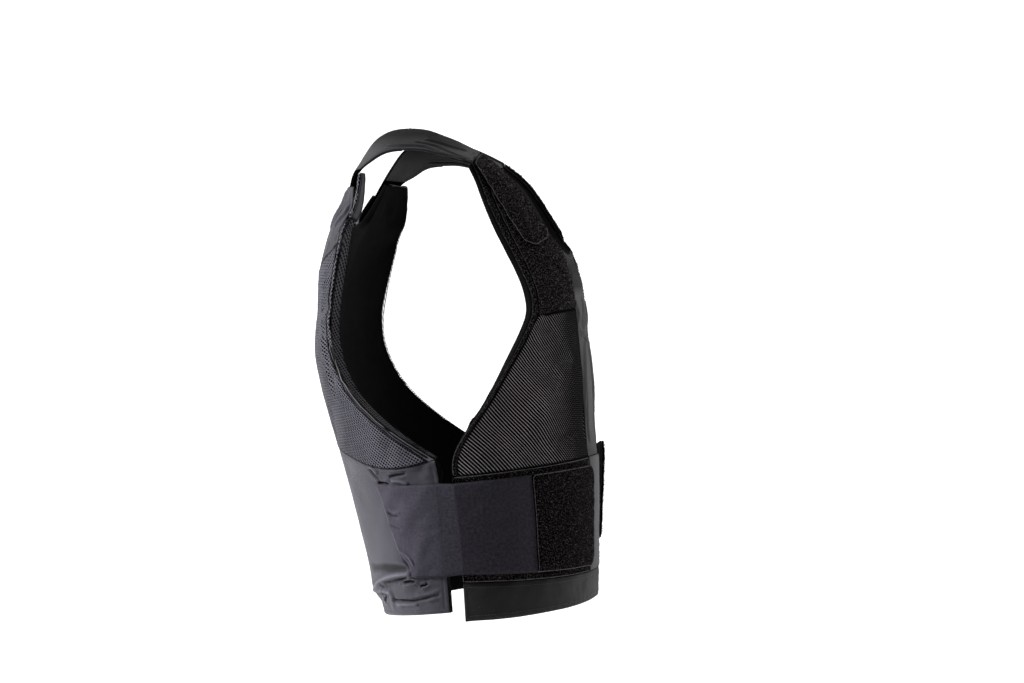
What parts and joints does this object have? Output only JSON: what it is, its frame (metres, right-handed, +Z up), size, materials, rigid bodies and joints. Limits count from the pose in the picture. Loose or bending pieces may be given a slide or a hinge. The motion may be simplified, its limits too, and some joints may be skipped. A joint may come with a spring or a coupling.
{
  "type": "stab vest",
  "caption": "Wearable stab vest: padded front and back panels, shoulder straps with pile tabs and elastic side straps, in its worn form.",
  "frame": {"origin": "middle of the line over both shoulders, at the height that the shoulder straps rest on", "axes": "+Z up, the front faces -Y, the wearer's right is -X"},
  "size_m": [0.3558, 0.3029, 0.516],
  "materials": {
    "plain_cloth": "matt woven cover cloth, dark grey",
    "mesh_cloth": "open spacer mesh, dark grey threads over black",
    "loop_pile": "black loop pile of a hook-and-loop fastener",
    "elastic": "wide ribbed elastic, dark violet grey",
    "panel_cloth": "black lining cloth over the protective padding"
  },
  "bodies": {
    "root": {"front_hem": "plain_cloth", "front_centre_panel": "plain_cloth", "front_armhole_binding_right": "plain_cloth", "front_armhole_binding_left": "plain_cloth", "back_lower_panel": "plain_cloth", "back_yoke_flap": "plain_cloth", "back_armhole_binding_right": "plain_cloth", "back_armhole_binding_left": "plain_cloth", "shoulder_strap_right": "plain_cloth", "shoulder_strap_left": "plain_cloth", "front_mesh_right": "mesh_cloth", "front_mesh_left": "mesh_cloth", "back_mesh": "mesh_cloth", "front_waist_loop_right": "loop_pile", "front_waist_loop_left": "loop_pile", "front_yoke_loop_right": "loop_pile", "front_yoke_loop_left": "loop_pile", "shoulder_tab_right": "loop_pile", "shoulder_tab_left": "loop_pile", "side_strap_pile_right": "loop_pile", "side_strap_pile_left": "loop_pile", "side_strap_right": "elastic", "side_strap_left": "elastic", "front_waist_centre": "elastic", "front_panel": "panel_cloth", "back_panel": "panel_cloth"}
  },
  "joints": []
}
